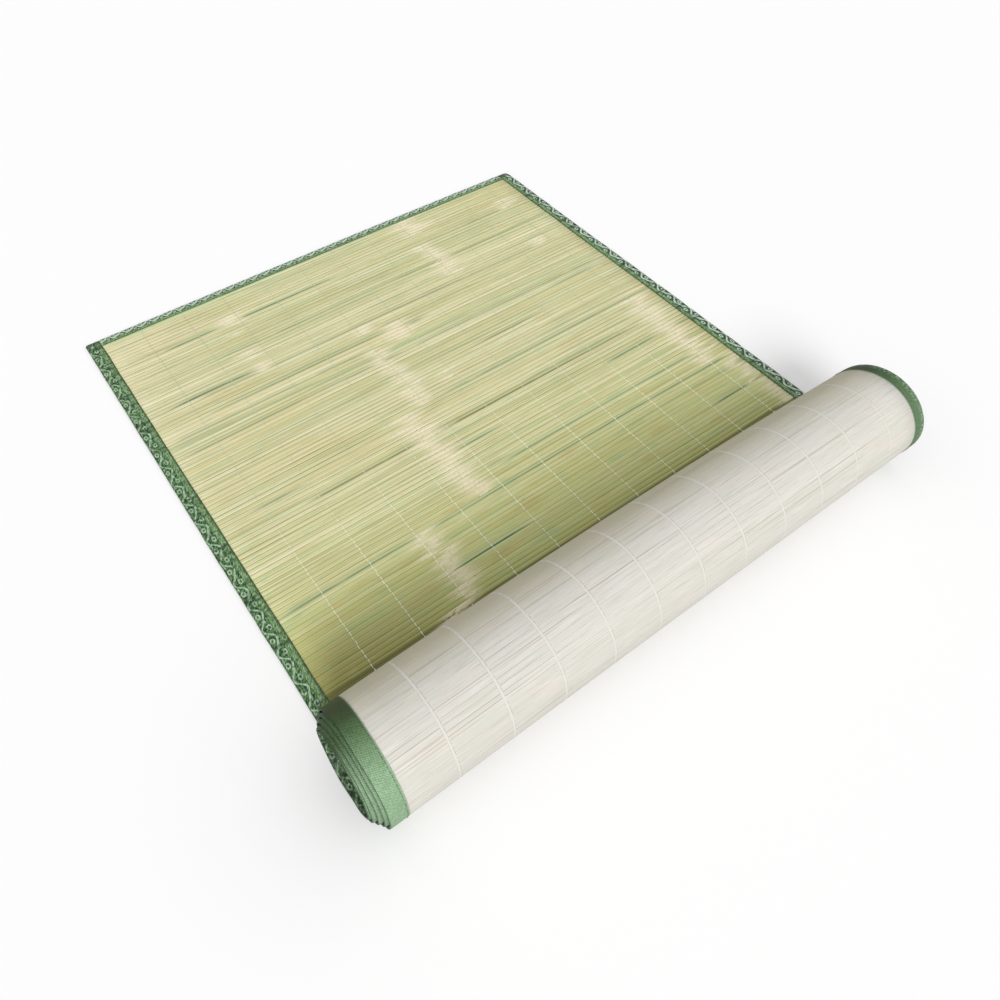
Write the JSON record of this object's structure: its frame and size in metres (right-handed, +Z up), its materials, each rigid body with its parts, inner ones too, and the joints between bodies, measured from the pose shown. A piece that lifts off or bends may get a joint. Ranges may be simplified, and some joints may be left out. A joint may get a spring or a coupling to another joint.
{
  "type": "bamboo sleeping mat",
  "caption": "Half-unrolled bamboo sleeping mat: a thin flat panel of cross slats with folded cloth bindings on every edge, wound at one end into a hollow roll.",
  "frame": {"origin": "on the floor, under the middle of the mat's box", "axes": "+X along the slats from the mat's left edge to its right edge, +Y from the roll towards the flat far end, +Z up"},
  "size_m": [0.6178, 0.629, 0.0948],
  "materials": {
    "bamboo": "split bamboo slats, waxy skin side up with a soft satin sheen and a paler fibrous back",
    "binding_cloth": "green woven binding cloth with a satin sheen, a silvery vine on its face and a plain back",
    "string": "matt off-white stringing thread"
  },
  "bodies": {
    "root": {"bamboo_panel": "bamboo", "left_binding": "binding_cloth", "right_binding": "binding_cloth", "far_end_binding": "binding_cloth", "rolled_end_binding": "binding_cloth"}
  },
  "joints": []
}
